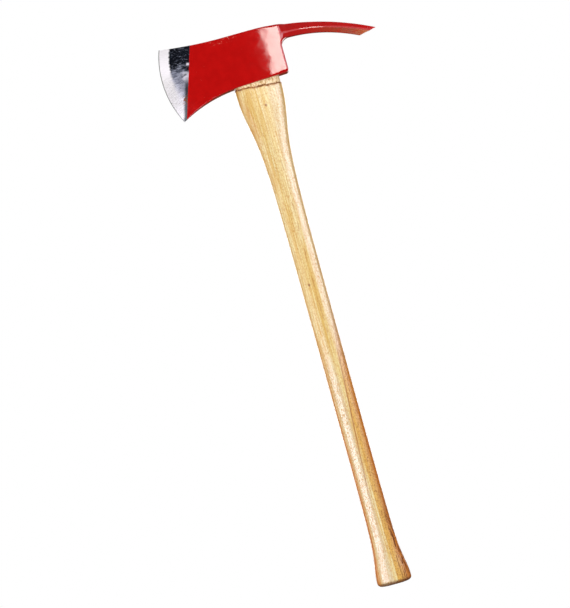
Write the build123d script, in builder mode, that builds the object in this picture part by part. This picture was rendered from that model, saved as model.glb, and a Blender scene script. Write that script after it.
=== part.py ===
from build123d import *
import os
from math import cos, pi, radians, sin, sqrt, tan

# A pick-head fire axe: a forged steel head, wedged on a straight hickory handle.
#
# Millimetres. Z is the handle's axis and points up, to the head. The origin is on that axis at the
# head's underside, where a wall bracket carries it. The blade points to -X and the pick to +X, and
# the axe is the same on both sides of the XZ plane.

# ---- the eye: the tapered hole for the handle's tongue, wider on top so that wedging locks it ----

eye_height = 82.0
eye_mouth_length = 74.0
eye_mouth_width = 25.0
eye_top_length = 76.0
eye_top_width = 28.0
eye_rim_chamfer = 0.8

# ---- the poll and the cheeks: the steel round the eye ----

cheek_wall = 3.8
poll_wall = 16.2
underside_tilt = 2.2  # degrees; the underside rises towards the poll
flat_cheek_length = 26.0  # the flat, parallel part of each cheek, next to the poll's back
shoulder_x = -26.0  # beside the front of the eye, where each cheek has started to close
shoulder_fall = 1.2  # how much each cheek has closed there
poll_corner_radius = 5.0
forging_radius = 2.4

# ---- the blade ----

edge_radius = 150.5
edge_centre_x = 4.0
toe_rise = 9.0  # above the top of the eye
heel_drop = 30.7  # below the underside of the eye
toe_blend = 32.0  # in front of the axis, where the top starts to rise to the toe
heel_blend = 28.0  # in front of the axis, where the underside starts to drop to the heel
edge_land = 0.3  # half the thickness of the cutting edge
bevel_angle = 13.0  # degrees, each side of the bit
blade_end_run = 22.0  # from the cutting edge to the end of the forged sides
blade_end_half_thickness = 5.4
blade_end_slope = 0.14  # Y for each X

# ---- the pick ----

pick_reach = 153.0  # from the poll's back to the point
pick_droop = 47.5  # from the eye's top down to the point
pick_start_x = 10.0  # where the head's top starts to curve down
pick_root_depth = 24.0
pick_middle_depth = 17.8
pick_root_width = 27.0
pick_point_width = 2.4
pick_crest = 0.34  # share of the pick's width that is flat along its crest
point_length = 28.8  # of the raked end, along X
point_rake = 11.4  # degrees
web_radius = 12.0  # of the web under the pick's root

# ---- the handle ----

handle_reach = 832.5  # from the head's underside to the butt
shoulder_half_width = 37.9
grip_half_width = 19.3
grip_half_thickness = 13.4
butt_half_width = 28.2
butt_half_thickness = 16.6
shoulder_taper = 83.0  # from the head to where the shoulder's swell has halved
butt_taper = 44.5  # from the butt to where the butt's swell has halved
butt_radius = 8.0
pared_band = 10.0  # the tongue shows this much below the head
pared_step = 1.1  # from the tongue out to the shoulder
tongue_recess = 1.0  # below the top of the eye
eye_clearance = 0.05

# ---- the wedges: one of wood along the eye, and two of steel across it ----

wood_wedge_depth = 60.0
wood_wedge_top = 8.5
wood_wedge_tip = 1.2
kerf_depth = 64.0
steel_wedge_length = 18.0
steel_wedge_depth = 30.0
steel_wedge_top = 5.0
steel_wedge_tip = 1.0
steel_wedge_steps = 4
steel_wedge_barb = 0.45
steel_wedge_spacing = 34.0
steel_wedge_turn = 38.0  # degrees, from straight across the eye
wedge_clearance = 0.05

# ---- how the shapes are made ----

beyond = 200.0  # longer than any cut
eye_overcut = 10.0  # the eye is cut from below the underside to above the top
pick_sections = 6
point_overrun = 3.0  # the pick's sections run past its point, and its end is then cut
point_cut = 1.6 * point_length
web_overlap = 6.0
cone_margin = 1.0  # the bit's double cone is this much thicker than the head
handle_sections = 16

# ---- what follows from the sizes ----

half_thickness = eye_top_width / 2 + cheek_wall
poll_x = eye_top_length / 2 + poll_wall
edge_centre_z = eye_height / 2
edge_front_x = edge_centre_x - edge_radius
blade_end_x = edge_front_x + blade_end_run
tongue_top = eye_height - tongue_recess


def edge_point(z):
    """The cutting edge at height z: an arc whose centre is level with the middle of the eye."""
    return edge_centre_x - sqrt(edge_radius**2 - (z - edge_centre_z) ** 2), z


toe = edge_point(eye_height + toe_rise)
heel = edge_point(-heel_drop)
pick_tip = (poll_x + pick_reach, eye_height - pick_droop)


def pick_top(x):
    """Height of the pick's crest: an arc, level with the eye's top where it starts."""
    run, fall = pick_tip[0] - pick_start_x, eye_height - pick_tip[1]
    radius = (run**2 + fall**2) / (2 * fall)
    return eye_height - radius + sqrt(radius**2 - (x - pick_start_x) ** 2)


middle_x = poll_x + pick_reach / 2
point_rise = tan(radians(point_rake))
point_heel = (pick_tip[0] - point_length, pick_tip[1] - point_length * point_rise)
pick_root = (poll_x, pick_top(poll_x) - pick_root_depth)
pick_middle = (middle_x, pick_top(middle_x) - pick_middle_depth)


def pick_bottom(x):
    """Height of the pick's underside: the parabola through its root, middle and raked end."""
    (xa, za), (xb, zb), (xc, zc) = pick_root, pick_middle, point_heel
    slope = (zb - za) / (xb - xa)
    bend = ((zc - zb) / (xc - xb) - slope) / (xc - xa)
    return za + (x - xa) * (slope + bend * (x - xb))


def pick_half_width(x):
    """Half the pick's width, tapering straight from the poll to the point."""
    share = (x - poll_x) / pick_reach
    return (pick_root_width + (pick_point_width - pick_root_width) * share) / 2


def eye_size(z, clearance=0.0):
    """Length and width of the eye at height z, less a clearance all round."""
    share = z / eye_height
    length = eye_mouth_length + (eye_top_length - eye_mouth_length) * share
    width = eye_mouth_width + (eye_top_width - eye_mouth_width) * share
    return length - 2 * clearance, width - 2 * clearance


def swell(distance, taper):
    """1 at an end of the handle, a half one taper length away from it, and soon nothing."""
    return 1 / (1 + (distance / taper) ** 3)


def handle_size(z):
    """Width along X and thickness along Y of the handle's oval at height z, below the head."""
    shoulder = swell(-z, shoulder_taper)
    butt = swell(handle_reach + z, butt_taper)
    shoulder_half_thickness = eye_mouth_width / 2 + pared_step
    half_width = grip_half_width
    half_width += (shoulder_half_width - grip_half_width) * shoulder
    half_width += (butt_half_width - grip_half_width) * butt
    half_depth = grip_half_thickness
    half_depth += (shoulder_half_thickness - grip_half_thickness) * shoulder
    half_depth += (butt_half_thickness - grip_half_thickness) * butt
    return 2 * half_width, 2 * half_depth


def taper_outline(top, tip, depth, clearance=0.0):
    """Half the outline of a wedge, or with a clearance of its slot, down from its top at Y 0."""
    bottom = -depth - clearance
    return [(0, 0), (top / 2 + clearance, 0), (tip / 2 + clearance, bottom), (0, bottom)]


def stepped_outline(top, tip, depth, steps, barb):
    """Half the outline of a wedge with ledges that face up, to bite and keep it from backing out."""
    outline = [(0, 0)]
    for step in range(steps):
        for share, inset in ((step / steps, 0), ((step + 1) / steps, barb)):
            outline.append(((top + (tip - top) * share) / 2 - inset, -depth * share))
    return outline + [(0, -depth)]


def across(plane, half_outline):
    """The whole outline, from its half, as a face on a plane whose Y is up and X is across."""
    with BuildSketch(plane) as face:
        with BuildLine():
            Polyline(*half_outline, close=True)
        make_face()
        mirror(about=Plane.YZ)
    return face.sketch


def steel_wedge_plane(x):
    """Through the middle of the steel wedge at x, across its thickness."""
    turn = radians(steel_wedge_turn)
    across_wedge, along_wedge = (cos(turn), sin(turn), 0), (sin(turn), -cos(turn), 0)
    return Plane((x, 0, tongue_top), x_dir=across_wedge, z_dir=along_wedge)


kerf_plane = Plane((0, 0, tongue_top), x_dir=(0, 1, 0), z_dir=(1, 0, 0))
steel_wedge_planes = {
    "steel_wedge_front": steel_wedge_plane(-steel_wedge_spacing / 2),
    "steel_wedge_rear": steel_wedge_plane(steel_wedge_spacing / 2),
}
wood_wedge_sizes = wood_wedge_top, wood_wedge_tip, wood_wedge_depth
steel_wedge_sizes = steel_wedge_top, steel_wedge_tip, steel_wedge_depth
saw_cut = across(kerf_plane, taper_outline(wood_wedge_tip, wood_wedge_tip, kerf_depth, wedge_clearance))
wood_slot = across(kerf_plane, taper_outline(*wood_wedge_sizes, wedge_clearance))
steel_slots = [
    across(plane, taper_outline(*steel_wedge_sizes, wedge_clearance))
    for plane in steel_wedge_planes.values()
]
steel_slot_half_length = steel_wedge_length / 2 + wedge_clearance

# ---- the pick: hexagonal sections along its curve, a raked end, and a web under its root ----

with BuildPart() as pick:
    for step in range(pick_sections + 1):
        x = poll_x + (pick_reach + point_overrun) * step / pick_sections
        low, high, half = pick_bottom(x), pick_top(x), pick_half_width(x)
        with BuildSketch(Plane.YZ.offset(x)):
            with BuildLine():
                Polyline(
                    (0, high),
                    (half * pick_crest, high),
                    (half, (low + high) / 2),
                    (half * pick_crest, low),
                    (0, low),
                    close=True,
                )
            make_face()
            mirror(about=Plane.YZ)
    loft()
    with BuildSketch(Plane.XZ):
        Polygon(
            (pick_tip[0] - point_cut, pick_tip[1] - point_cut * point_rise),
            (pick_tip[0] + point_cut, pick_tip[1] + point_cut * point_rise),
            (pick_tip[0] + point_cut, pick_tip[1] - beyond),
            (pick_tip[0] - point_cut, pick_tip[1] - beyond),
            align=None,
        )
    extrude(amount=beyond, both=True, mode=Mode.SUBTRACT)
    with BuildSketch(Plane.XZ):
        web_x, web_z = poll_x + web_radius, pick_bottom(poll_x + web_radius)
        with BuildLine():
            web = TangentArc((poll_x, web_z - web_radius), (web_x, web_z), tangent=(0, 1))
            Polyline(web @ 1, (web_x, web_z + web_overlap), (poll_x, web_z + web_overlap), web @ 0)
        make_face()
    extrude(amount=pick_half_width(poll_x) * pick_crest, both=True)

# ---- the head: blade, eye, poll and pick, one forging ----

with BuildPart() as axe_head:
    underside_rise = tan(radians(underside_tilt))
    poll_low = (poll_x, poll_x * underside_rise)
    poll_high = (poll_x, pick_top(poll_x))
    with BuildSketch(Plane.XZ) as side:
        with BuildLine():
            Line(poll_high, poll_low)
            underside = Line(poll_low, (-heel_blend, -heel_blend * underside_rise))
            TangentArc(underside @ 1, heel, tangent=underside % 1)
            ThreePointArc(heel, (edge_front_x, edge_centre_z), toe)
            top = Line((-toe_blend, eye_height), (pick_start_x, eye_height))
            TangentArc(top @ 0, toe, tangent=(-1, 0))
            TangentArc(top @ 1, poll_high, tangent=(1, 0))
        make_face()
        fillet(side.vertices().sort_by_distance(poll_low)[0], poll_corner_radius)
    extrude(amount=half_thickness, both=True)

    # seen from above: flat cheeks by the poll, then a long convex wedge to the end of the sides
    with BuildSketch(Plane.XY.offset(-beyond)) as plan:
        with BuildLine():
            cheek = Line((poll_x, half_thickness), (poll_x - flat_cheek_length, half_thickness))
            Spline(
                cheek @ 1,
                (shoulder_x, half_thickness - shoulder_fall),
                (blade_end_x, blade_end_half_thickness),
                tangents=((-1, 0), (-1, -blade_end_slope)),
            )
            Polyline(
                (blade_end_x, blade_end_half_thickness),
                (blade_end_x - beyond, 0),
                (poll_x, 0),
                cheek @ 0,
            )
        make_face()
        fillet(plan.vertices().sort_by_distance((poll_x, half_thickness))[0], forging_radius)
        mirror(about=Plane.XZ)
    extrude(amount=2 * beyond, mode=Mode.INTERSECT)

    # the bit's bevels follow its curved edge: a double cone about the edge's own centre
    cone_half = half_thickness + cone_margin
    cone_rise = tan(radians(bevel_angle))
    with BuildSketch(Plane.XY.offset(edge_centre_z)):
        with BuildLine():
            Polyline(
                (edge_centre_x, cone_half),
                (edge_front_x + (cone_half - edge_land) / cone_rise, cone_half),
                (edge_front_x, edge_land),
                (edge_front_x, 0),
                (edge_centre_x, 0),
                close=True,
            )
        make_face()
        mirror(about=Plane.XZ)
    edge_axis = Axis((edge_centre_x, 0, edge_centre_z), (0, 1, 0))
    revolve(axis=edge_axis, mode=Mode.INTERSECT)
    add(pick.part)

    # the eye, with its rims broken
    for height in (-eye_overcut, eye_height + eye_overcut):
        with BuildSketch(Plane.XY.offset(height)):
            SlotOverall(*eye_size(height))
    loft(mode=Mode.SUBTRACT)
    rims = axe_head.edges(Select.LAST).filter_by(GeomType.LINE, reverse=True)
    low_rim = rims.filter_by(lambda edge: edge.center().Z < eye_height / 4)
    high_rim = rims.filter_by(lambda edge: edge.center().Z > eye_height * 3 / 4)
    chamfer(low_rim + high_rim, eye_rim_chamfer)

# ---- the handle: the tongue in the eye, the swelling shoulder, the straight grip and the butt ----

with BuildPart() as tongue:
    for height in (-pared_band, tongue_top):
        with BuildSketch(Plane.XY.offset(height)):
            SlotOverall(*eye_size(height, eye_clearance))
    loft()

with BuildPart() as handle:
    for step in range(handle_sections + 1):
        share = (1 - cos(pi * step / handle_sections)) / 2  # closer together at both ends
        height = -pared_band - (handle_reach - pared_band) * share
        with BuildSketch(Plane.XY.offset(height)):
            SlotOverall(*handle_size(height))
    loft()
    fillet(handle.edges().group_by(Axis.Z)[0], butt_radius)
    add(tongue.part)
    for slot in (saw_cut, wood_slot):
        extrude(slot, amount=beyond, both=True, mode=Mode.SUBTRACT)
    for slot in steel_slots:
        extrude(slot, amount=steel_slot_half_length, both=True, mode=Mode.SUBTRACT)

# ---- the wooden wedge: it fills the kerf, and ends at the wall of the eye ----

with BuildPart() as wood_wedge:
    add(tongue.part)
    blank = across(kerf_plane, taper_outline(*wood_wedge_sizes))
    extrude(blank, amount=beyond, both=True, mode=Mode.INTERSECT)
    for slot in steel_slots:
        extrude(slot, amount=steel_slot_half_length, both=True, mode=Mode.SUBTRACT)

# ---- the steel wedges ----

steel_wedges = {}
for name, plane in steel_wedge_planes.items():
    with BuildPart() as steel_wedge:
        outline = stepped_outline(*steel_wedge_sizes, steel_wedge_steps, steel_wedge_barb)
        extrude(across(plane, outline), amount=steel_wedge_length / 2, both=True)
    steel_wedges[name] = steel_wedge.part

# ---- the pieces ----

pieces = {"axe_head": axe_head.part, "handle": handle.part, "wood_wedge": wood_wedge.part}
pieces.update(steel_wedges)

os.makedirs("parts", exist_ok=True)
for name, piece in pieces.items():
    piece.label = name
    export_step(piece, f"parts/{name}.step")
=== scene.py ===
from math import pi, radians, tan

import bmesh
import bpy
import numpy as np
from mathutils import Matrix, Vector


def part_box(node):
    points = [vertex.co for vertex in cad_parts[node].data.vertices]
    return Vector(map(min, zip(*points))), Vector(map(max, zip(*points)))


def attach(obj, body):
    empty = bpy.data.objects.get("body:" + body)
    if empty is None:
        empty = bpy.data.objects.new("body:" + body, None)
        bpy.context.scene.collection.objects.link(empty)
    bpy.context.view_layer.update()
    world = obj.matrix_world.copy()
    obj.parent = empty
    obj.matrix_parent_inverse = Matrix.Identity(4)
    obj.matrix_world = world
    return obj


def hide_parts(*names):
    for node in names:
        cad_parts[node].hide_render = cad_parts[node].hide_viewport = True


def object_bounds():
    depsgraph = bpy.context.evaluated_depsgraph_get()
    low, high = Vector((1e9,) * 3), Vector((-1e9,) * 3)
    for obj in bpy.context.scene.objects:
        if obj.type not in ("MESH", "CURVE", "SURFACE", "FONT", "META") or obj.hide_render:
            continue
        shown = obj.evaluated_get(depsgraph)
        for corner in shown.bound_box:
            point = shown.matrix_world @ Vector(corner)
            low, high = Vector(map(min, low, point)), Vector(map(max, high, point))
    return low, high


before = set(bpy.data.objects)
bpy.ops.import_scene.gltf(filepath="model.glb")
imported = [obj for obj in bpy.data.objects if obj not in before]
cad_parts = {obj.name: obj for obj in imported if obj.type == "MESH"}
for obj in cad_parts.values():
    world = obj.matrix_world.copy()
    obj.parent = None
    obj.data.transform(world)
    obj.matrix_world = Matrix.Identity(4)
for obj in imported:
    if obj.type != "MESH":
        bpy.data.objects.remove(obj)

cad_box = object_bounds()

# A pick-head fire axe. Metres: Z runs up the handle's axis to the head, whose underside is at 0,
# the blade points to -X and the pick to +X, and the two sides are alike across Y.
mm = 0.001

# ---- sizes of the head ----

head_low, head_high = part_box("axe_head")
handle_low, handle_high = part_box("handle")
head_half = head_high.y  # half the thickness over the cheeks
pick_tip_x = head_high.x
toe_z, heel_z = head_high.z, head_low.z
tongue_z = handle_high.z
eye_z = tongue_z + 1.0 * mm  # the top of the eye; the tongue is cut 1 mm short of it

eye_half_low = np.array((37.0, 12.5)) * mm  # half its length and half its width, at the underside
eye_half_high = np.array((38.0, 14.0)) * mm
eye_gap = wedge_gap = 0.05 * mm
edge_radius = 150.5 * mm
edge_x = head_low.x + edge_radius  # the cutting edge is an arc about here
edge_z = eye_z / 2
bevel_width = 18.0 * mm  # how far the bright grinding reaches in from the edge
bevel_rise = tan(radians(13.7))
poll_x = pick_tip_x - 153.0 * mm
cheek_end = poll_x - 26.0 * mm  # the cheeks are flat from here to the poll's back
blade_end = head_low.x + 22.0 * mm
blade_half = 5.4 * mm
underside_tilt = radians(2.2)
underside_rise = tan(underside_tilt)
corner_radius = 5.0 * mm
web_radius = 12.0 * mm
pick_tip_z = eye_z - 47.5 * mm
pick_root_depth, pick_middle_depth = 24.0 * mm, 17.8 * mm
pick_root_half, pick_tip_half = 13.5 * mm, 1.2 * mm
pick_level = 0.93  # cosine of the mean slope of the pick's underside
rake_run = 28.8 * mm
rake_rise = tan(radians(11.4))
paint_x, paint_z = -87.5 * mm, 85.1 * mm  # the paint line starts here, at the top outline
paint_across, paint_down = 0.9526, 0.3039  # cosine and sine of its lean towards the edge


def arc_from(start, inward, end):
    """Centre and radius of the circle through two points, whose centre lies inward of the first."""
    start, inward, end = (np.array(v, float) for v in (start, inward, end))
    inward /= np.linalg.norm(inward)
    reach = end - start
    radius = reach @ reach / (2 * reach @ inward)
    return start + inward * radius, radius


toe = (edge_x - np.sqrt(edge_radius**2 - (toe_z - edge_z) ** 2), toe_z)
heel = (edge_x - np.sqrt(edge_radius**2 - (heel_z - edge_z) ** 2), heel_z)
pick_tip = (pick_tip_x, pick_tip_z)
toe_start = (-32.0 * mm, eye_z)
pick_start = (10.0 * mm, eye_z)
heel_start = (-28.0 * mm, -28.0 * mm * underside_rise)
toe_centre, toe_arc = arc_from(toe_start, (0, 1), toe)
heel_centre, heel_arc = arc_from(heel_start, (underside_rise, -1), heel)
pick_centre, pick_arc = arc_from(pick_start, (0, -1), pick_tip)


def top_z(x):
    """The head's top outline: an arc down from the toe, a level stretch, the pick's long arc."""
    toe_x = np.minimum(x, toe_start[0]) - toe_centre[0]
    pick_x = np.maximum(x, pick_start[0]) - pick_centre[0]
    rise = toe_centre[1] - np.sqrt(toe_arc**2 - toe_x**2)
    fall = pick_centre[1] + np.sqrt(pick_arc**2 - pick_x**2)
    return rise + fall - eye_z


pick_heel = (pick_tip_x - rake_run, pick_tip_z - rake_run * rake_rise)
pick_middle_x = (poll_x + pick_tip_x) / 2
pick_middle = (pick_middle_x, top_z(pick_middle_x) - pick_middle_depth)
pick_root = (poll_x, top_z(poll_x) - pick_root_depth)


def pick_low_z(x):
    """The pick's underside before its end is cut: the parabola through three points of it."""
    (xa, za), (xb, zb), (xc, zc) = pick_root, pick_middle, pick_heel
    slope = (zb - za) / (xb - xa)
    bend = ((zc - zb) / (xc - xb) - slope) / (xc - xa)
    return za + (x - xa) * (slope + bend * (x - xb))


def ridge_z(x):
    """The blunt ridge along the pick's side, which climbs from its lower third to its upper one."""
    along = np.clip((x - poll_x) / (pick_tip_x - poll_x), 0, 1)
    return pick_low_z(x) + (0.34 + 0.32 * along) * (top_z(x) - pick_low_z(x))


web_centre = np.array((poll_x + web_radius, pick_low_z(poll_x + web_radius) - web_radius))
corner_centre = np.array(
    (
        poll_x - corner_radius,
        (poll_x - corner_radius) * underside_rise + corner_radius / np.cos(underside_tilt),
    )
)


def smooth_step(x, start, end):
    """0 before start, 1 after end, and 3t2 - 2t3 between them."""
    t = np.clip((x - start) / (end - start), 0, 1)
    return t * t * (3 - 2 * t)


def rim_distance(x, z):
    """How far a point of the head's side is from the nearer of its top and bottom outlines, each
    a chain of arcs and lines."""
    point = np.stack((x, z), -1)
    far_away = 1.0

    def from_centre(centre):
        return np.linalg.norm(point - centre, axis=-1)

    level = np.cos(underside_tilt)
    top = np.where(x < toe_start[0], from_centre(toe_centre) - toe_arc, eye_z - z)
    top = np.where(x > pick_start[0], pick_arc - from_centre(pick_centre), top)
    low = np.where(
        x < heel_start[0], from_centre(heel_centre) - heel_arc, (z - x * underside_rise) * level
    )
    low = np.minimum(low, np.where(z < web_centre[1], poll_x - x, far_away))
    in_corner = (x > corner_centre[0]) & (z < corner_centre[1])
    low = np.where(in_corner, corner_radius - from_centre(corner_centre), low)
    past_foot = (z >= web_centre[1]) & (x <= web_centre[0])
    low = np.where(past_foot, np.minimum(low, from_centre(web_centre) - web_radius), low)
    rake = pick_tip_z + (x - pick_tip_x) * rake_rise
    under_pick = (z - np.maximum(pick_low_z(x), rake)) * pick_level
    low = np.where(x > web_centre[0], under_pick, low)
    return np.clip(np.minimum(top, low), 0, None)


def head_half_thickness(x, z):
    """Half the head's thickness: the cheeks' long convex wedge, cut by the bit's bevel cone, which
    turns after the poll into the pick's hexagon, and is rounded off towards the outline."""
    share = np.clip((cheek_end - x) / (cheek_end - blade_end), 0, None)
    wedge = head_half - (head_half - blade_half) * share**2.1
    inside_edge = edge_radius - np.hypot(x - edge_x, z - edge_z)
    inside_edge = np.clip(inside_edge, 0, None)
    land = 0.3 * mm * (1 - np.exp(-inside_edge / (0.25 * mm)))
    bevel = land + inside_edge * bevel_rise
    blend = 0.25 * mm
    blade = -blend * np.logaddexp(-bevel / blend, -wedge / blend)
    blade = np.where(inside_edge < 2 * mm, bevel, blade)

    across = (z - ridge_z(x)) / ((top_z(x) - pick_low_z(x)) / 2)
    across = np.hypot(np.clip(np.abs(across) - 0.08, 0, 1), 0.08)
    along = np.clip((x - poll_x) / (pick_tip_x - poll_x), 0, 1)
    pick_half = pick_root_half - (pick_root_half - pick_tip_half) * along
    pick = pick_half * (0.34 + 0.66 * np.clip(1 - across, 0, 1))
    half = blade + (pick - blade) * smooth_step(x, poll_x, poll_x + 15 * mm)

    stations = np.array((-146.0, -120.0, -60.0, 36.0, 44.0, 56.0, 80.0, 170.0, 207.0)) * mm
    radii = np.array((0.2, 0.5, 1.5, 2.2, 3.4, 3.4, 1.3, 0.8, 0.25)) * mm
    radius = np.minimum(np.interp(x, stations, radii), 0.7 * half + 1e-9)
    inset = radius - np.minimum(rim_distance(x, z), radius)
    return half - radius + np.sqrt(np.clip(radius**2 - inset**2, 0, None))


def head_rows():
    """Rows of the head's side, each from a point of the bottom outline to one of the top outline:
    from the cutting edge, along the underside, round the poll's corner, up its back, round the
    web and along the pick to its point. Each row's bulge follows the arc of the cutting edge."""
    # where the rows of the corner, the back, the web and the pick reach the top outline
    corner_from, corner_to = 36.0 * mm, 42.0 * mm
    web_to = web_centre[0] + 3.0 * mm
    rake_from = pick_heel[0] + 7.0 * mm

    ease = np.linspace(0, 1, 90) ** 1.7
    blade_x = heel[0] + (heel_start[0] - heel[0]) * ease
    blade = np.stack(
        (blade_x, heel_centre[1] + np.sqrt(heel_arc**2 - (blade_x - heel_centre[0]) ** 2)), 1
    )
    blade_top = toe[0] + (toe_start[0] - toe[0]) * ease
    corner_x = corner_centre[0] + corner_radius * np.sin(underside_tilt)
    eye_x = np.linspace(heel_start[0], corner_x, 50)[1:]
    eye = np.stack((eye_x, eye_x * underside_rise), 1)
    eye_top = np.linspace(toe_start[0], corner_from, 50)[1:]
    turn = np.linspace(-pi / 2 + underside_tilt, 0, 12)[1:]
    corner = corner_centre + corner_radius * np.stack((np.cos(turn), np.sin(turn)), 1)
    corner_top = np.linspace(corner_from, corner_to, 12)[1:]
    back_z = np.linspace(corner_centre[1], web_centre[1], 46)[1:]
    back = np.stack((np.full_like(back_z, poll_x), back_z), 1)
    back_top = corner_to + (poll_x - corner_to) * (1 - (1 - np.linspace(0, 1, 46)[1:]) ** 1.6)
    turn = np.linspace(pi, pi / 2, 20)[1:]
    web = web_centre + web_radius * np.stack((np.cos(turn), np.sin(turn)), 1)
    web_top = np.linspace(poll_x, web_to, 20)[1:]
    under_x = np.linspace(web_centre[0], pick_heel[0], 100)[1:]
    under = np.stack((under_x, pick_low_z(under_x)), 1)
    under_top = np.linspace(web_to, rake_from, 100)[1:]
    rake = np.linspace(pick_heel, pick_tip, 30)[1:]
    rake_top = np.linspace(rake_from, pick_tip_x, 30)[1:]
    low = np.concatenate((blade, eye, corner, back, web, under, rake))
    top_x = np.concatenate((blade_top, eye_top, corner_top, back_top, web_top, under_top, rake_top))
    top = np.stack((top_x, top_z(top_x)), 1)
    half_chord = np.hypot(*(np.array(toe) - np.array(heel))) / 2
    sagitta = edge_radius - np.sqrt(edge_radius**2 - half_chord**2)
    bulge = np.zeros(len(low))
    bulge[: len(ease)] = sagitta * (1 - ease) ** 2
    return low, top, bulge


def shell_mesh(name, points, flat_ends=False):
    """A mesh over rows of points, each row a closed loop joined to the next, with coincident points
    merged and faces outward. The first and last rows are points or lines, or get flat ends."""
    rows, columns = points.shape[:2]
    index = np.arange(rows * columns).reshape(rows, columns)
    after = np.roll(index, -1, 1)
    faces = np.stack((index[:-1], after[:-1], after[1:], index[1:]), -1).reshape(-1, 4).tolist()
    if flat_ends:
        faces += [index[0, ::-1].tolist(), index[-1].tolist()]
    mesh = bpy.data.meshes.new(name)
    mesh.from_pydata(points.reshape(-1, 3).tolist(), [], faces)
    shell = bmesh.new()
    shell.from_mesh(mesh)
    bmesh.ops.remove_doubles(shell, verts=shell.verts, dist=0.002 * mm)
    bmesh.ops.recalc_face_normals(shell, faces=shell.faces)
    shell.to_mesh(mesh)
    shell.free()
    return mesh


def placed(name, data):
    """An object in the scene for a mesh, a light or a camera."""
    obj = bpy.data.objects.new(name, data)
    bpy.context.scene.collection.objects.link(obj)
    return obj


def piece(name, mesh, crease=35):
    """An object for a mesh, shaded smooth but for the edges that turn by more than its crease."""
    obj = placed(name, mesh)
    mesh.polygons.foreach_set("use_smooth", np.ones(len(mesh.polygons), bool))
    mesh.set_sharp_from_angle(angle=radians(crease))
    return obj


def cut(obj, cutters):
    """Takes the cutters' shapes out of an object, for good."""
    for mesh in cutters:
        cutter = placed("cutter", mesh)
        boolean = obj.modifiers.new("cut", "BOOLEAN")
        boolean.operation, boolean.solver, boolean.object = "DIFFERENCE", "EXACT", cutter
        graph = bpy.context.evaluated_depsgraph_get()
        shape = bpy.data.meshes.new_from_object(obj.evaluated_get(graph))
        obj.modifiers.clear()
        obj.data = shape
        bpy.data.objects.remove(cutter)


def make_head():
    """The forging: on each row, up one side, over the top, down the other side and back under."""
    low, top, bulge = head_rows()
    chord = top - low
    length = np.linalg.norm(chord, axis=1)
    ends = np.array((0.0, 0.12, 0.35, 0.7, 1.1, 1.6, 2.4)) * mm
    ends = ends[None] * np.minimum(1, 0.15 * length / ends[-1])[:, None]
    ends = ends / np.maximum(length, 1e-9)[:, None]
    inner = np.linspace(0, 1, 60)[None, 1:-1]
    inner = ends[:, -1:] + (1 - 2 * ends[:, -1:]) * inner
    w = np.concatenate((ends, inner, 1 - ends[:, ::-1]), 1)

    # each row's arc: the sagitta at the middle of the chord, falling to nothing at its ends
    half = length[:, None] / 2
    sag = np.maximum(bulge, 1e-7)[:, None]
    radius = (half**2 + sag**2) / (2 * sag)
    offset = np.sqrt(np.clip(radius**2 - (half * (2 * w - 1)) ** 2, 0, None)) - radius + sag
    offset = np.where(bulge[:, None] > 0, offset, 0)
    normal = np.stack((-chord[:, 1], chord[:, 0]), 1) / np.maximum(length, 1e-9)[:, None]
    side = low[:, None] + chord[:, None] * w[..., None] + normal[:, None] * offset[..., None]
    x, z = side[..., 0], side[..., 1]
    y = head_half_thickness(x, z)
    y[0] = 0
    across = np.linspace(-1, 1, 9)[1:-1]

    def strip(column, run):
        shape = (len(x), len(run))
        return np.stack(
            (
                np.broadcast_to(x[:, column, None], shape),
                y[:, column, None] * run,
                np.broadcast_to(z[:, column, None], shape),
            ),
            -1,
        )

    near = np.stack((x, -y, z), -1)
    far = np.stack((x, y, z), -1)[:, ::-1]
    loop = np.concatenate((near, strip(-1, across), far, strip(0, -across)), 1)
    return shell_mesh("axe_head_forging", loop)


def oval(t, half_length, half_width, straight):
    """A closed outline round the angle t: an oval of power 2.5 where straight is 0, and a slot
    with round ends where it is 1, each as a stretch of the unit circle."""
    c, s = np.abs(np.cos(t)), np.abs(np.sin(t))
    stretch = (c**2.5 + s**2.5) ** (-1 / 2.5)
    end = half_length - half_width
    a = (half_length * c) ** 2 + (half_width * s) ** 2
    b = half_length * c * end
    round_end = (b + np.sqrt(np.clip(b**2 - a * (end**2 - half_width**2), 0, None))) / a
    flat_side = 1 / np.maximum(s, 1e-9)
    slot = np.where(half_length * c * flat_side <= end, flat_side, round_end)
    stretch = stretch + (slot - stretch) * straight
    return half_length * np.cos(t) * stretch, half_width * np.sin(t) * stretch


def loft(sections, t):
    """Points of stacked ovals, from rows of half length, half width, straightness and height."""
    half_length, half_width, straight, height = sections
    x, y = oval(t[None], half_length, half_width, straight)
    return np.stack((x, y, height), -1)


def closed_prism(outlines, heights):
    """A closed mesh through outlines at rising heights, with flat ends."""
    rows = [
        np.column_stack((line, np.full(len(line), height)))
        for line, height in zip(outlines, heights)
    ]
    return shell_mesh("prism", np.array(rows), flat_ends=True)


def eye_half(z):
    """Half the eye's length and half its width at a height; its taper runs straight on."""
    return eye_half_low + (eye_half_high - eye_half_low) * (np.asarray(z)[..., None] / eye_z)


def make_eye_cutter():
    """The eye's tapered slot, flared by a small chamfer at its top and at its mouth."""
    t = np.linspace(0, 2 * pi, 129)[:-1]
    heights = np.array((-12.0, -2.6, -1.2, 0, 40.0, 80.8, 82.1, 90.0)) * mm
    flare = np.array((2.0, 1.5, 0.6, 0, 0, 0, 1.1, 9.0)) * mm
    outlines = []
    for height, grow in zip(heights, flare):
        half = eye_half(height) + grow
        outlines.append(np.column_stack(oval(t, *half, 1.0)))
    return closed_prism(outlines, heights)


# ---- the handle ----

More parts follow.
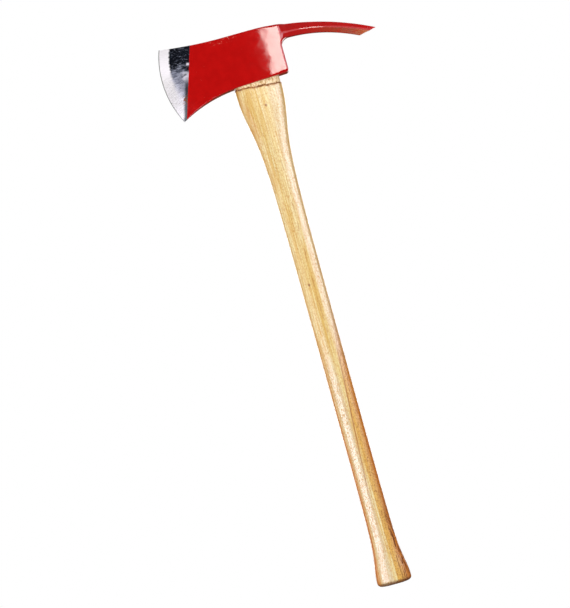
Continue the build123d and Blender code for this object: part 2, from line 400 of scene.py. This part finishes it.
shoulder_half = 37.9 * mm
grip_half, grip_half_depth = 19.3 * mm, 13.4 * mm
butt_half, butt_half_depth = 28.2 * mm, 16.6 * mm
butt_radius = 8.0 * mm
ledge_middle = -8.0 * mm  # where the shoulder is pared down to fit the eye
steel_turn = radians(38)  # the steel wedges stand askew to the wood one
shoulder_taper, butt_taper = 83.0 * mm, 44.5 * mm


def swell(distance, taper):
    """1 at an end of the handle, a half one taper away, and soon nothing."""
    return 1 / (1 + (np.abs(distance) / taper) ** 3)


def handle_half(z):
    """Half the handle's width, half its depth, and how straight-sided its section is."""
    shoulder, butt = swell(z, shoulder_taper), swell(z - handle_low.z, butt_taper)
    width = grip_half + (shoulder_half - grip_half) * shoulder + (butt_half - grip_half) * butt
    depth = grip_half_depth + 0.2 * mm * shoulder + (butt_half_depth - grip_half_depth) * butt
    return width, depth, 0.9 * shoulder + 0.2 * butt


def ledge_z(t, x):
    """Height of the torn edge where the shoulder was pared down to fit the eye: lower to the rear,
    with an uneven edge made of waves round the handle."""
    waves = 0.42 * np.sin(9 * t + 1.3) + 0.3 * np.sin(23 * t + 0.4) + 0.22 * np.sin(41 * t + 2.2)
    return (-7.6 - 3.0 * x / shoulder_half + waves) * mm


def make_handle():
    """Ovals stacked from the butt's rounded end to the shoulder's torn edge, then the pared band,
    and the tongue up through the eye."""
    t = np.linspace(0, 2 * pi, 193)[:-1]
    base = handle_low.z

    # the butt: a slightly domed end and its round edge
    dome = 1.2 * mm
    share, turn = np.linspace(0, 1, 14), np.linspace(0, pi / 2, 14)[1:-1]
    rise = np.concatenate((dome * share**2, dome + (butt_radius - dome) * (1 - np.cos(turn))))
    at_rim = handle_half(base + rise)
    inset = np.concatenate(
        (at_rim[1][:14] * (1 - share) + butt_radius * share, butt_radius * (1 - np.sin(turn)))
    )
    columns = len(t)

    def rows(*values):
        return [np.repeat(np.atleast_1d(v)[:, None], columns, 1) for v in values]

    end = loft(rows(at_rim[0] - inset, np.maximum(at_rim[1] - inset, 0), at_rim[2], base + rise), t)

    # the grip and the shoulder, up to just below the torn edge
    heights = np.linspace(base + butt_radius, -14 * mm, 150)
    body = loft(rows(*handle_half(heights), heights), t)

    # the torn edge
    half = handle_half(ledge_middle)
    edge = ledge_z(t, oval(t, *half)[0])
    steps = np.array((-2.4, -1.0, -0.35, 0.0, 0.18, 0.4)) * mm
    inward = np.array((0.0, 0.0, -0.08, 0.1, 0.75, 1.0))
    eye_at = eye_half(ledge_middle) - eye_gap
    bands = []
    x0, y0 = oval(t, *half)
    x1, y1 = oval(t, *eye_at, 1.0)
    for step, share in zip(steps, inward):
        bands.append(np.stack((x0 + (x1 - x0) * share, y0 + (y1 - y0) * share, edge + step), -1))
    torn = np.array(bands)

    # the pared band and the tongue
    share = np.linspace(0, 1, 8)[1:-1]
    heights = (edge + steps[-1])[None] * (1 - share[:, None]) + 2.0 * mm * share[:, None]
    half_length, half_width = np.moveaxis(eye_half(heights) - eye_gap, -1, 0)
    x, y = oval(t[None], half_length, half_width, 1.0)
    band = np.stack((x, y, heights), -1)
    heights = np.linspace(2 * mm, tongue_z, 12)
    half_length, half_width = (eye_half(heights) - eye_gap).T
    tongue = loft(rows(half_length, half_width, np.ones(12), heights), t)
    half = eye_half(tongue_z) - eye_gap
    inset = np.linspace(0, half[1], 12)[1:]
    top = loft(rows(half[0] - inset, half[1] - inset, np.ones(11), np.full(11, tongue_z)), t)
    return shell_mesh("hickory_handle", np.concatenate((end, body, torn, band, tongue, top)))


def wedge_slot(x, turn, half_length, top, tip, depth):
    """The slot that a wedge fills in the tongue: a straight taper, turned about the upright."""
    over = 2 * mm  # how far it runs out above the tongue
    heights = np.array((-depth - wedge_gap, over)) + tongue_z
    halves = wedge_gap + (tip + (top - tip) * np.array((0, 1 + over / depth))) / 2
    across, along = np.array((np.cos(turn), np.sin(turn))), np.array((-np.sin(turn), np.cos(turn)))
    outlines = []
    for half in halves:
        corners = np.array(((-1, -1), (1, -1), (1, 1), (-1, 1))) * (half, half_length)
        outlines.append(np.array((x, 0)) + corners @ np.array((across, along)))
    return closed_prism(outlines, heights)


forging = piece("axe_head_forging", make_head())
cut(forging, [make_eye_cutter()])
shaft = piece("hickory_handle", make_handle(), 50)
kerf = {"half_length": 60 * mm, "top": 8.5 * mm, "tip": 1.2 * mm, "depth": 60 * mm}
steel_slot = {"half_length": 9.05 * mm, "top": 5 * mm, "tip": 1 * mm, "depth": 30 * mm}
slots = [wedge_slot(0, pi / 2, **kerf)]
slots += [wedge_slot(x, steel_turn, **steel_slot) for x in (-17 * mm, 17 * mm)]
cut(shaft, slots)
for obj, node, finish in ((forging, "axe_head", "painted_steel"), (shaft, "handle", "hickory")):
    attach(obj, "root")
    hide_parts(node)


def vertices_of(obj):
    """The x, the y and the z of a mesh's points, each as one array."""
    points = np.empty(3 * len(obj.data.vertices))
    obj.data.vertices.foreach_get("co", points)
    return points.reshape(-1, 3).T


def store(obj, name, values):
    """Keeps a number for each point of a mesh, which its material reads by name."""
    kept = obj.data.attributes.new(name, "FLOAT", "POINT")
    kept.data.foreach_set("value", values.astype(np.float32))


x, y, z = vertices_of(forging)
store(forging, "over_ridge", z - ridge_z(x))
x, y, z = vertices_of(shaft)
half_width, half_depth, _ = handle_half(z)
angle = np.arctan2(y / half_depth, x / half_width)
store(shaft, "above_ledge", z - ledge_z(angle, x))
store(shaft, "side", x / half_width)

# ---- finishes ----


class Wire:
    """A socket in a material's nodes. Sums and products of wires add Math nodes, and any other node
    comes from node()."""

    def __init__(self, tree, socket=None):
        self.tree, self.socket = tree, socket

    def node(self, kind, sockets, output=0, **settings):
        """Adds a node: its settings first, then a number, a colour or a wire for each socket."""
        made = self.tree.nodes.new("ShaderNode" + kind)
        for name, value in settings.items():
            setattr(made, name, value)
        for name, value in sockets.items():
            if isinstance(value, Wire):
                self.tree.links.new(value.socket, made.inputs[name])
            else:
                made.inputs[name].default_value = value
        return Wire(self.tree, made.outputs[output]) if made.outputs else None

    def maths(self, operation, *others):
        return self.node("Math", dict(enumerate((self, *others))), operation=operation)

    def __add__(self, other):
        return self.maths("ADD", other)

    __radd__ = __add__

    def __sub__(self, other):
        return self.maths("SUBTRACT", other)

    def __rsub__(self, other):
        return self.node("Math", {0: other, 1: self}, operation="SUBTRACT")

    def __mul__(self, other):
        return self.maths("MULTIPLY", other)

    __rmul__ = __mul__

    def __pow__(self, other):
        return self.maths("POWER", other)

    def larger(self, other):
        return self.maths("MAXIMUM", other)

    def step(self, start, end):
        """0 before start and 1 after end, smoothly; with start the larger, it falls instead."""
        limits = {"Value": self, "From Min": start, "From Max": end}
        return self.node("MapRange", limits, interpolation_type="SMOOTHSTEP")

    def parts(self):
        """The three numbers of a place or a direction."""
        outputs = self.node("SeparateXYZ", {"Vector": self}).socket.node.outputs
        return [Wire(self.tree, output) for output in outputs]

    def kept(self, name):
        """The number that the mesh keeps under a name for each of its points."""
        return self.node("Attribute", {}, "Fac", attribute_name=name)

    def facing_up(self):
        """How far the surface faces up: 1 on a level top, 0 on a wall and -1 underneath."""
        return self.node("NewGeometry", {}, "Normal").parts()[2]

    def stretched(self, x, y, z):
        return self.node("Mapping", {"Vector": self, "Scale": (x, y, z)})

    def noise(self, scale, detail=2.0, roughness=0.5):
        sockets = {"Vector": self, "Scale": scale, "Detail": detail, "Roughness": roughness}
        return self.node("TexNoise", sockets)

    def grain(self, squeeze, *noise):
        """Noise drawn out along the handle; the smaller the squeeze, the longer its streaks."""
        return self.stretched(1, 1, squeeze).noise(*noise)

    def between(self, colour, other):
        """The first colour where this mask is 0 and the other where it is 1."""
        colours = [c if isinstance(c, Wire) else (*c, 1.0) for c in (colour, other)]
        return self.node("Mix", {0: self, 6: colours[0], 7: colours[1]}, 2, data_type="RGBA")

    def bump(self):
        """The relief of a height in micrometres."""
        return self.node("Bump", {"Height": self, "Strength": 1.0, "Distance": 0.001 * mm})


def emptied(block):
    """The first wire of a material's or a world's nodes, emptied of those it came with."""
    block.use_nodes = True
    block.node_tree.nodes.clear()
    return Wire(block.node_tree)


def make_finish(name, recipe, constants=()):
    """A material: the recipe gives the varying sockets from the object's coordinates, and the rest
    of the shader's sockets are constants."""
    material = bpy.data.materials.new(name)
    start = emptied(material)
    sockets = {**dict(constants), **recipe(start.node("TexCoord", {}, "Object"))}
    start.node("OutputMaterial", {"Surface": start.node("BsdfPrincipled", sockets)})
    return material


def enamel_and_steel(at):
    """Red enamel up to a straight line across the bit, and ground steel beyond it."""
    x, y, z = at.parts()
    over_ridge = at.kept("over_ridge")
    fine, broad = at.noise(900, 3), at.noise(90, 3)

    # the paint line, masked off straight from the top outline to the bottom one
    off_line = (x - paint_x) * paint_across - (z - paint_z) * paint_down
    down_line = (x - paint_x) * -paint_down - (z - paint_z) * paint_across
    painted = (off_line + (fine - 0.5) * 0.0012).step(-0.0002, 0.0002)

    # enamel: deeper in places, scuffed on top of the cheeks, and brownish orange on the pick's
    # lower facet, a painted reflection from below
    red = broad.step(0.3, 0.7).between((0.385, 0.0026, 0.0022), (0.430, 0.0034, 0.0028))
    specks = at.noise(420, 2).step(0.77, 0.82)
    rubbed = x.step(-0.062, -0.045) * x.step(-0.010, -0.022) * z.step(0.070, 0.078)
    scuffs = at.stretched(0.5, 1, 1).noise(420, 4, 0.7).step(0.56, 0.66) * rubbed
    wear = specks.larger(scuffs)
    red = (wear * 0.85).between(red, (0.85, 0.38, 0.26))
    # painted reflection: the pick's lower facet turns brown, more orange towards the point
    painted_lower_facet_reflection = over_ridge.step(0.0, -0.0015) * x.step(0.075, 0.185)
    painted_lower_facet_reflection = painted_lower_facet_reflection * at.stretched(0.2, 1, 1).noise(500, 3).step(0.15, 0.6)
    reflected_brown = x.step(0.16, 0.20).between((0.26, 0.052, 0.016), (0.40, 0.120, 0.025))
    red = (painted_lower_facet_reflection * 0.95).between(red, reflected_brown)

    # steel: a painted reflection, near black at the top by the paint and brighter below
    dx, dz = x - edge_x, z - edge_z
    inside = edge_radius - (dx * dx + dz * dz) ** 0.5
    mottle = at.stretched(0.35, 1, 1).noise(220, 5, 0.65)
    blotch = at.noise(75, 3, 0.6)
    # scale marks the painted dark reflection at the top of the steel
    scale = down_line + (blotch - 0.5) * 0.055 + (mottle - 0.5) * 0.05
    scuffed = at.stretched(0.5, 1, 1.4).noise(330, 5, 0.8).step(0.54, 0.62)
    scale = scale.step(0.066, 0.036) * (1 - scuffed * 0.45)
    upper = mottle.step(0.35, 0.65).between((0.16, 0.19, 0.26), (0.48, 0.51, 0.62))
    lower = mottle.step(0.3, 0.7).between((0.44, 0.44, 0.51), (0.70, 0.68, 0.74))
    steel = (down_line + (blotch - 0.5) * 0.05).step(0.030, 0.095).between(upper, lower)
    steel = scale.between(steel, (0.005, 0.006, 0.009))

    # two bright marks by the paint, painted highlights on the steel
    glint_patch = off_line.step(-0.012, -0.007)
    glint_patch = glint_patch * down_line.step(0.040, 0.047) * down_line.step(0.062, 0.055)
    glint_dot = off_line.step(-0.006, -0.003)
    glint_dot = glint_dot * down_line.step(0.027, 0.030) * down_line.step(0.035, 0.031)
    painted_glints = glint_patch.larger(glint_dot) * mottle.step(0.35, 0.55)
    steel = (painted_glints * 0.8).between(steel, (0.80, 0.77, 0.82))

    # the bright bevel, whose grinding strokes follow the edge: softer and duller at the heel
    turn = dz.maths("ARCTAN2", dx * -1)
    flow = at.node("CombineXYZ", {"X": turn * 0.15, "Y": inside * 0.04, "Z": y * 0.2})
    strokes = flow.noise(2600, 3, 0.6)
    heel_end = down_line.step(0.03, 0.11)
    bevel = inside + (blotch - 0.5) * 0.004 + (mottle - 0.5) * 0.009
    bevel = bevel.step(bevel_width + heel_end * 0.012, bevel_width - 0.003 - heel_end * 0.005)
    ground = strokes.step(0.3, 0.7).between((0.82, 0.785, 0.785), (0.93, 0.895, 0.89))
    duller = strokes.step(0.35, 0.65).between((0.34, 0.33, 0.315), (0.46, 0.45, 0.42))
    steel = bevel.between(steel, (heel_end * 0.85).between(ground, duller))

    # a dark strip along the paint's lower half, a rust mark in it, and a grey line at the very
    # edge, painted shade along its outline
    strip = (off_line + (mottle - 0.5) * 0.004).step(-0.0075, -0.0025)
    strip = strip * down_line.step(0.045, 0.070)
    steel = (strip * 0.93).between(steel, (0.030, 0.034, 0.034))
    rust = off_line.step(-0.009, -0.006)
    rust = rust * down_line.step(0.078, 0.083) * down_line.step(0.098, 0.090)
    rust = rust * at.noise(330, 2).step(0.45, 0.56)
    steel = (rust * 0.9).between(steel, (0.16, 0.055, 0.018))
    painted_edge_outline = (inside + (fine - 0.5) * 0.0003).step(0.0016, 0.0009)
    steel = painted_edge_outline.between(steel, (0.16, 0.16, 0.15))

    # the pick's ridge is dulled by handling but for one short bright length
    glint = x.step(0.082, 0.092) * x.step(0.132, 0.118) * (1 - fine.step(0.50, 0.62) * 0.7)
    dull = over_ridge.step(-0.003, 0.0) * over_ridge.step(0.003, 0.0)
    dull = dull * x.step(0.052, 0.058) * (1 - glint)
    hazy = at.noise(150, 3, 0.6).step(0.40, 0.70)
    gloss = 0.045 + hazy * 0.03 + wear * 0.4 + painted_lower_facet_reflection * 0.15 + x.step(0.12, 0.16) * 0.1 + dull * 0.5
    polish = 0.24 + strokes.step(0.3, 0.7) * 0.12 + scale * 0.15

    # relief in micrometres: orange peel in the enamel, strokes and pits in the steel, and the
    # enamel's own thickness between them
    peel = at.noise(260, 2) * 5 + fine * 1.5 + at.noise(55, 1) * 60
    lines = strokes * bevel * 12 + mottle * 12 * (1 - bevel)
    return {
        "Base Color": painted.between(steel, red),
        "Metallic": 1 - painted,
        "Roughness": painted * gloss + (1 - painted) * polish,
        "Normal": (painted * peel + (1 - painted) * lines + painted * 40).bump(),
    }


ring_width = 3.6 * mm
pin_knots = ((4.0 * mm, -40.0 * mm), (-6.0 * mm, -335.0 * mm))
dark_foot_top, dark_foot_full = handle_low.z + 9.0 * mm, handle_low.z + 5.0 * mm


def hickory(at):
    """Lacquered hickory: growth rings about a line beside the handle, pores and flecks along the
    grain, red heartwood down its rear side, and a rough pared band under the head."""
    x, y, z = at.parts()
    above, side = at.kept("above_ledge"), at.kept("side")
    drift = at.grain(0.06, 28, 2) - 0.5
    waver = at.grain(0.25, 160, 3) - 0.5

    # growth rings: how far a point is from the heart of the tree, which leans a little
    rx = x - 0.105 + z * 0.012 + drift * 0.012
    ry = y + 0.04 - z * 0.015
    ring = (rx * rx + ry * ry) ** 0.5 + waver * 0.0008
    late = ((ring * (2 * pi / ring_width)).maths("SINE") * 0.5 + 0.5) ** 3
    streaks = at.grain(0.03, 330, 4, 0.6)

    pale = at.grain(0.08, 60, 3).step(0.35, 0.65)
    pale = pale.between((0.775, 0.690, 0.355), (0.760, 0.625, 0.245))
    soft = at.grain(0.05, 190, 2).step(0.48, 0.66)
    pale = (soft * 0.5).between(pale, (0.650, 0.440, 0.100))
    pale = (streaks.step(0.42, 0.62) * 0.85).between(pale, (0.640, 0.400, 0.075))
    wood = (late * 0.4).between(pale, (0.600, 0.320, 0.050))

    # heartwood down the rear side of the lower half, with a brown seam along its border
    lower = (z + drift * 0.2).step(-0.20, -0.66)
    line = (z + 0.46) * 3.0 + 0.52 + drift * 0.3
    heart = (side - line.larger(0.2)).step(-0.04, 0.08) * (z + drift * 0.3).step(-0.28, -0.54)
    red_heart = (side + drift * 0.4).step(0.35, 0.85)
    red_heart = red_heart.between((0.665, 0.365, 0.055), (0.520, 0.165, 0.012))
    wood = (heart * 0.85).between(wood, red_heart)
    seam = side - line
    seam = seam.step(-0.09, -0.01) * seam.step(0.07, 0.0)
    seam = seam * z.step(-0.42, -0.46) * z.step(-0.71, -0.67)
    wood = (seam * 0.9).between(wood, (0.340, 0.105, 0.016))

    # a brown stain under the head towards the blade, and a browner tone on both slim sides, partly
    # grain and partly painted shade where they turn away
    stain = side.step(-0.45, -0.85) * z.step(-0.20, -0.10)
    stain = stain * at.grain(0.2, 90, 2).step(0.4, 0.6)
    wood = (stain * 0.9).between(wood, (0.560, 0.260, 0.034))
    # painted shade along the slim sides, mixed with their browner grain
    browner_sides_and_edge_shade = (side * side + (streaks - 0.5) * 0.5 + lower * 0.1).step(0.52, 0.95)
    brown = lower.between((0.610, 0.330, 0.045), (0.520, 0.155, 0.004))
    wood = (browner_sides_and_edge_shade * (0.5 + lower * 0.5)).between(wood, brown)

    # two paler bands where the lacquer shines, a painted highlight: to the rear above, to the front
    # below
    upper_painted_highlight = side.step(0.20, 0.5) * side.step(1.0, 0.88) * z.step(-0.50, -0.38) * 0.42
    lower_painted_highlight = side.step(-0.88, -0.62) * side.step(0.10, -0.15) * z.step(-0.40, -0.52) * 0.50
    wood = (upper_painted_highlight + lower_painted_highlight).between(wood, (0.60, 0.515, 0.36))

    # pores are dark dashes along the grain, flecks are shorter, and dashes char towards the butt
    pores = at.grain(0.12, 1500, 2).step(0.56, 0.66) * at.grain(0.15, 200, 2).step(0.36, 0.66)
    flecks = at.grain(0.65, 580, 3, 0.8)
    speckle = flecks.step(0.50, 0.59)
    dots = heart.between((0.480, 0.200, 0.020), (0.260, 0.070, 0.003))
    wood = (pores * 0.7 + speckle * 0.6).between(wood, dots)
    dashes = at.grain(0.12, 430, 3, 0.6).step(0.50, 0.57)
    charred = (side - 0.25 + drift).step(0.0, 0.35) * z.step(-0.66, -0.77) * dashes
    wood = (charred * 0.95).between(wood, (0.120, 0.026, 0.002))

    # a broken brown line down the middle of the grip, and pin knots in its near side
    vein = side - 0.12 - drift * 0.5
    vein = vein.step(-0.10, 0.0) * vein.step(0.10, 0.0)
    vein = vein * z.step(-0.10, -0.16) * z.step(-0.50, -0.40) * dashes
    wood = (vein * 0.7).between(wood, (0.42, 0.17, 0.02))
    for knot_x, knot_z in pin_knots:
        from_x, from_z = x - knot_x, (z - knot_z) * 0.8
        knot = ((from_x * from_x + from_z * from_z) ** 0.5).step(0.0024, 0.0009)
        knot = knot * y.step(0.004, -0.004)
        wood = (knot * 0.85).between(wood, (0.26, 0.07, 0.004))

    # the pared band: dry and paler, browner at its top as a painted shadow under the head, with a
    # torn brown edge
    band = above.step(-0.0001, 0.0003)
    dry = at.grain(0.5, 420, 4, 0.7)
    pared = dry.step(0.35, 0.60).between((0.560, 0.330, 0.105), (0.860, 0.720, 0.450))
    wood = (band * 0.85).between(wood, pared)
    # painted shadow: the top of the band browner just under the head
    painted_shadow_under_head = band * z.step(-0.007, -0.001) * dry.step(0.62, 0.42)
    wood = (painted_shadow_under_head * 0.7).between(wood, (0.42, 0.19, 0.04))
    ragged = above + (at.noise(240, 4, 0.65) - 0.5) * 0.0065
    tear = ragged.step(-0.0036, -0.0010) * ragged.step(0.0026, 0.0006)
    wood = (tear * 0.8).between(wood, (0.380, 0.140, 0.028))
    torn = ragged.step(-0.0018, -0.0005) * ragged.step(0.0013, 0.0002)
    torn = torn * at.noise(150, 2).step(0.42, 0.52)
    wood = (torn * 0.95).between(wood, (0.130, 0.036, 0.004))

    # end grain at the butt and in the eye
    up = at.facing_up()
    end = (up * up).step(0.55, 0.9) * (1 - band.step(0.0, 1.0) * z.step(0.06, 0.05))
    ends = (late * 0.8).between((0.42, 0.24, 0.085), (0.17, 0.075, 0.022))
    wood = (end * 0.75).between(wood, ends)

    # the foot is dark brown all round, over its lowest 9 mm
    foot = (z + (dry - 0.5) * 0.006).step(dark_foot_top, dark_foot_full)
    wood = (foot * (0.75 + dashes * 0.25)).between(wood, (0.130, 0.034, 0.004))

    # dull where the lacquer is gone: in the pores and flecks, on the band, on the charred dashes
    # and on the dark foot
    charred_and_dark_foot = charred.larger(foot)
    dull = 0.28 + speckle * 0.3 + pores * 0.2 + band * 0.3 + end * 0.2 + (torn + charred_and_dark_foot) * 0.7
    lacquer = (1 - band) * (1 - pores * 0.8) * (1 - speckle * 0.95) * (1 - end * 0.8)
    lacquer = lacquer * (1 - browner_sides_and_edge_shade * 0.6) * (1 - charred_and_dark_foot * 0.9) * (1 - tear)
    relief = late * 5 + streaks * 8 + flecks * 6 - pores * 10 + dry * band * 300
    return {"Base Color": wood, "Roughness": dull, "Coat Weight": lacquer, "Normal": relief.bump()}


red_head = make_finish("red_enamel_and_ground_steel", enamel_and_steel, {"IOR": 1.5})
hickory_finish = make_finish("lacquered_hickory", hickory, {"IOR": 1.5, "Coat Roughness": 0.16})
for obj, material in ((forging, red_head), (shaft, hickory_finish)):
    obj.data.materials.clear()
    obj.data.materials.append(material)


def wedge_wood(at):
    """The pale wood of the eye's wedge, with fibres down its depth and crushed ends on top."""
    fibres = at.grain(0.06, 700, 4, 0.6)
    ends = at.noise(2400, 2)
    up = at.facing_up().step(0.6, 0.9)
    wood = fibres.step(0.3, 0.7).between((0.52, 0.31, 0.12), (0.72, 0.50, 0.24))
    wood = (up * ends.step(0.45, 0.65) * 0.7).between(wood, (0.28, 0.14, 0.05))
    relief = fibres * 100 + ends * up * 100
    return {"Base Color": wood, "Roughness": 0.6 + ends * 0.25, "Normal": relief.bump()}


def rolled_steel(at):
    """Dull rolled steel with a grey skin, browned in spots, dented where it was driven."""
    skin, dents = at.noise(380, 4, 0.6), at.noise(160, 2)
    steel = skin.step(0.35, 0.65).between((0.20, 0.20, 0.21), (0.42, 0.42, 0.43))
    steel = (at.noise(520, 3).step(0.58, 0.7) * 0.7).between(steel, (0.14, 0.055, 0.022))
    return {
        "Base Color": steel,
        "Roughness": 0.38 + skin * 0.25,
        "Normal": (dents * 400 + skin * 80).bump(),
    }


wood_finish = make_finish("wedge_end_wood", wedge_wood)
steel_finish = make_finish("rolled_wedge_steel", rolled_steel, {"Metallic": 1.0})
for node, material in (
    ("wood_wedge", wood_finish),
    ("steel_wedge_front", steel_finish),
    ("steel_wedge_rear", steel_finish),
):
    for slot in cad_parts[node].material_slots:
        slot.material = material

# ---- camera ----

view_height = 0.9728  # how much of the axe's plane the camera takes in along its longer side
view_distance = 3.5
view_roll = radians(15.45)  # the camera is tilted, so the axe leans to the left
camera = placed("camera", bpy.data.cameras.new("camera"))
camera.data.lens = camera.data.sensor_width * view_distance / view_height
camera.location = (-0.0511, -view_distance, -0.3537)
camera.rotation_euler = (pi / 2, view_roll, 0)
bpy.context.scene.camera = camera
bpy.context.scene.view_settings.view_transform = "Standard"

# ---- studio ----


def softbox(name, centre, size, radiance, colour=(1.0, 1.0, 1.0)):
    """A rectangular light at a place, turned level towards the handle's axis and equally bright
    all over: its power is its radiance times its area times pi."""
    lamp = bpy.data.lights.new(name, "AREA")
    lamp.shape = "RECTANGLE"
    lamp.size, lamp.size_y = size
    lamp.energy = radiance * pi * size[0] * size[1]
    lamp.color = colour
    obj = placed(name, lamp)
    obj.location = centre
    aim = Vector((0, 0, centre[2])) - Vector(centre)
    obj.rotation_euler = aim.to_track_quat("-Z", "Y").to_euler()
    obj.visible_camera = False
    return obj


# the broad highlight on the poll
cheek_light = softbox("cheek_softbox", (0.53, -3.5, 0.55), (0.85, 0.5), 18.0, (1.0, 1.0, 0.93))
cheek_light.rotation_euler = (pi / 2, 0, 0)

# a ring of lights: degrees to the right of the front, height, size, radiance and colour
ring_distance = 3.3
white = (1.0, 1.0, 1.0)
for name, azimuth, height, size, radiance, colour in (
    ("right_softbox", 46, 0.2, (3.5, 1.5), 5.3, (0.98, 0.97, 1.10)),
    ("left_softbox", -47, 0.55, (2.2, 2.2), 1.3, white),
    ("far_left_softbox", -88, 0.0, (2.0, 2.2), 2.4, white),
    ("low_left_softbox", -29, -1.15, (2.4, 1.2), 6.8, (0.97, 0.95, 1.12)),
    ("back_right_softbox", 158, 0.1, (1.6, 2.4), 3.8, white),
    ("back_left_softbox", -158, 0.1, (1.6, 2.4), 3.8, white),
):
    turn = radians(azimuth)
    place = (ring_distance * np.sin(turn), -ring_distance * np.cos(turn), height)
    softbox(name, place, size, radiance, colour)

# a soft light over and behind the head
roof = softbox("roof_softbox", (0.0, 1.5, 2.2), (2.6, 1.6), 3.0)
roof.rotation_euler = (radians(-38), 0, 0)

world = bpy.data.worlds.new("studio")
bpy.context.scene.world = world
room = emptied(world)
# dim walls, darker in front of the axe and warm behind it; the camera itself sees white
away = room.node("TexCoord", {}, "Generated").parts()[1]
walls = away.step(-0.95, -0.7).between((0.04, 0.04, 0.04), (0.2, 0.2, 0.2))
walls = away.step(0.5, 0.9).between(walls, (0.17, 0.055, 0.025))
seen = room.node("LightPath", {}, "Is Camera Ray").between(walls, (1, 1, 1))
glow = room.node("Background", {"Color": seen, "Strength": 1.0})
room.node("OutputWorld", {"Surface": glow})

# the floor: plain white and shadowless, like a light table
floor_z = cad_box[0][2] - 0.2 * mm
floor_reach = 30.0
floor_mesh = bpy.data.meshes.new("floor")
ends = (-floor_reach, floor_reach)
floor_mesh.from_pydata([(x, y, floor_z) for x in ends for y in ends], [], [(0, 2, 3, 1)])
floor = placed("floor", floor_mesh)
floor.visible_diffuse = floor.visible_glossy = floor.visible_shadow = False
floor_white = bpy.data.materials.new("white_floor")
table = emptied(floor_white)
glow = table.node("Emission", {"Color": (1, 1, 1, 1), "Strength": 1.0})
table.node("OutputMaterial", {"Surface": glow})
floor_mesh.materials.append(floor_white)
